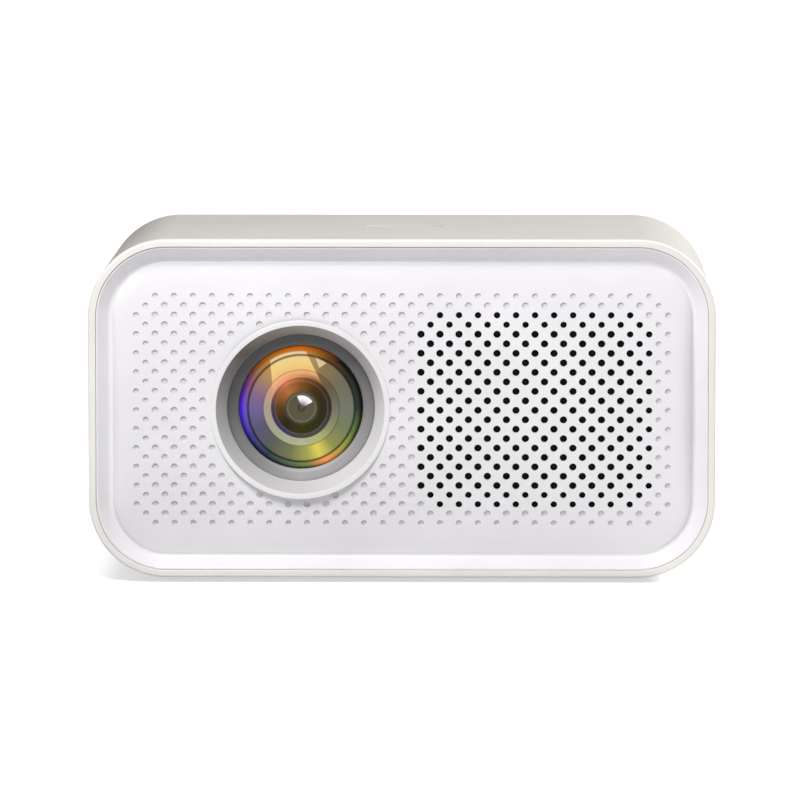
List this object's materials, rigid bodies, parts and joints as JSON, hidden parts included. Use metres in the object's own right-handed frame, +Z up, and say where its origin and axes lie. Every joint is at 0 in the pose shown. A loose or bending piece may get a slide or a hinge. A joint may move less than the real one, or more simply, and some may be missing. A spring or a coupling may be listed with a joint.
{
  "type": "home projector",
  "caption": "Compact home projector: rounded sleeve, perforated front panel, focusing lens in a funnel, fan, loudspeaker and rear connectors.",
  "frame": {"origin": "centre of the footprint on the plane the feet stand on", "axes": "+Z up, +X to the right seen from the front, the lens looks along -Y"},
  "size_m": [0.185, 0.11, 0.1015],
  "materials": {
    "shell": "fine satin moulding, warm grey",
    "bezel_cream": "satin off-white moulding",
    "rear_plastic": "fine satin moulding, warm grey",
    "panel_white": "satin white moulding",
    "funnel": "satin light grey",
    "lens_ring": "satin grey paint",
    "coated_glass": "multi-coated, amber and violet reflections",
    "glass": "clear optical glass",
    "acrylic": "clear acrylic sheet",
    "black_paint": "dull optical black",
    "black_plastic": "dull black moulding",
    "inner_plastic": "dull dark moulding",
    "gear_plastic": "natural acetal",
    "engine_plastic": "glass-filled dark moulding",
    "brass": "turned",
    "steel": "plated sheet",
    "black_steel": "black coated",
    "aluminium": "extruded, plain",
    "mirror": "front-surface mirror",
    "lcd_frame": "dark frame round the liquid crystal cell",
    "rubber": "dull",
    "foam": "open foam",
    "speaker_paper": "pressed paper",
    "black_cloth": "fine acoustic cloth",
    "circuit_board": "green solder mask",
    "dark_window": "infrared-pass plastic"
  },
  "bodies": {
    "chassis": {"housing_sleeve": "shell", "front_bezel": "bezel_cream", "front_panel": "panel_white", "rear_panel": "rear_plastic", "chassis_tray": "inner_plastic", "tripod_nut": "brass", "foot_1": "rubber", "foot_2": "rubber", "foot_3": "rubber", "foot_4": "rubber", "rear_screw_1": "black_steel", "rear_screw_2": "black_steel", "rear_screw_3": "black_steel", "rear_screw_4": "black_steel", "lens_trim_ring": "funnel", "lens_mount": "inner_plastic", "guide_pin": "steel", "focus_motor": "steel", "motor_bracket": "steel", "engine_base": "engine_plastic", "engine_cover": "engine_plastic", "cover_screw_1": "steel", "cover_screw_2": "steel", "fold_mirror": "mirror", "fresnel_front": "acrylic", "lcd_panel": "lcd_frame", "fresnel_rear": "acrylic", "heat_glass": "glass", "condenser_lens": "glass", "light_cup": "aluminium", "led_module": "aluminium", "led_heat_sink": "aluminium", "fan_frame": "black_plastic", "speaker_basket": "black_steel", "speaker_magnet": "steel", "speaker_surround": "rubber", "speaker_gasket": "foam", "grille_cloth": "black_cloth", "button_board": "circuit_board", "key_switch": "black_plastic", "main_board": "circuit_board", "processor_heat_sink": "aluminium", "hdmi_socket": "steel", "usb_socket": "steel", "dc_inlet": "black_plastic", "av_jack": "black_plastic", "ir_window": "dark_window", "capacitor_left": "aluminium", "capacitor_right": "aluminium"},
    "power_key": {"power_button": "shell"},
    "focus_gear": {"focus_ring": "gear_plastic"},
    "focus_drive": {"focus_pinion": "brass"},
    "lens_group": {"lens_barrel": "black_plastic", "lens_front": "coated_glass", "lens_middle": "glass", "lens_rear": "glass", "lens_retainer": "lens_ring", "aperture_stop": "black_paint"},
    "fan_wheel": {"fan_rotor": "black_plastic"},
    "speaker_diaphragm": {"speaker_cone": "speaker_paper"}
  },
  "joints": [
    {"name": "power_press", "type": "slide", "parent": "chassis", "child": "power_key", "axis": [0, 0, -1], "range_m": [0, 0.0005], "stiffness_N_per_m": 1600},
    {"name": "focus_turn", "type": "hinge", "parent": "chassis", "child": "focus_gear", "pos_m": [-0.03, -0.033, 0.0512], "axis": [0, -1, 0], "range_deg": [-30, 30]},
    {"name": "lens_slide", "type": "slide", "parent": "chassis", "child": "lens_group", "axis": [0, -1, 0], "range_m": [-0.0015, 0.0015]},
    {"name": "pinion_turn", "type": "hinge", "parent": "chassis", "child": "focus_drive", "pos_m": [-0.05884, -0.033, 0.031], "axis": [0, -1, 0], "range_deg": [-181, 181]},
    {"name": "fan_spin", "type": "hinge", "parent": "chassis", "child": "fan_wheel", "pos_m": [0.052, 0.044, 0.0515], "axis": [0, 1, 0], "continuous": true},
    {"name": "cone_travel", "type": "slide", "parent": "chassis", "child": "speaker_diaphragm", "axis": [0, -1, 0], "range_m": [-0.001, 0.001], "stiffness_N_per_m": 1500}
  ],
  "couplings": [
    {"joint": "lens_slide", "follows": "focus_turn", "m_per_rad": 0.0028619},
    {"joint": "pinion_turn", "follows": "focus_turn", "ratio": -6}
  ]
}
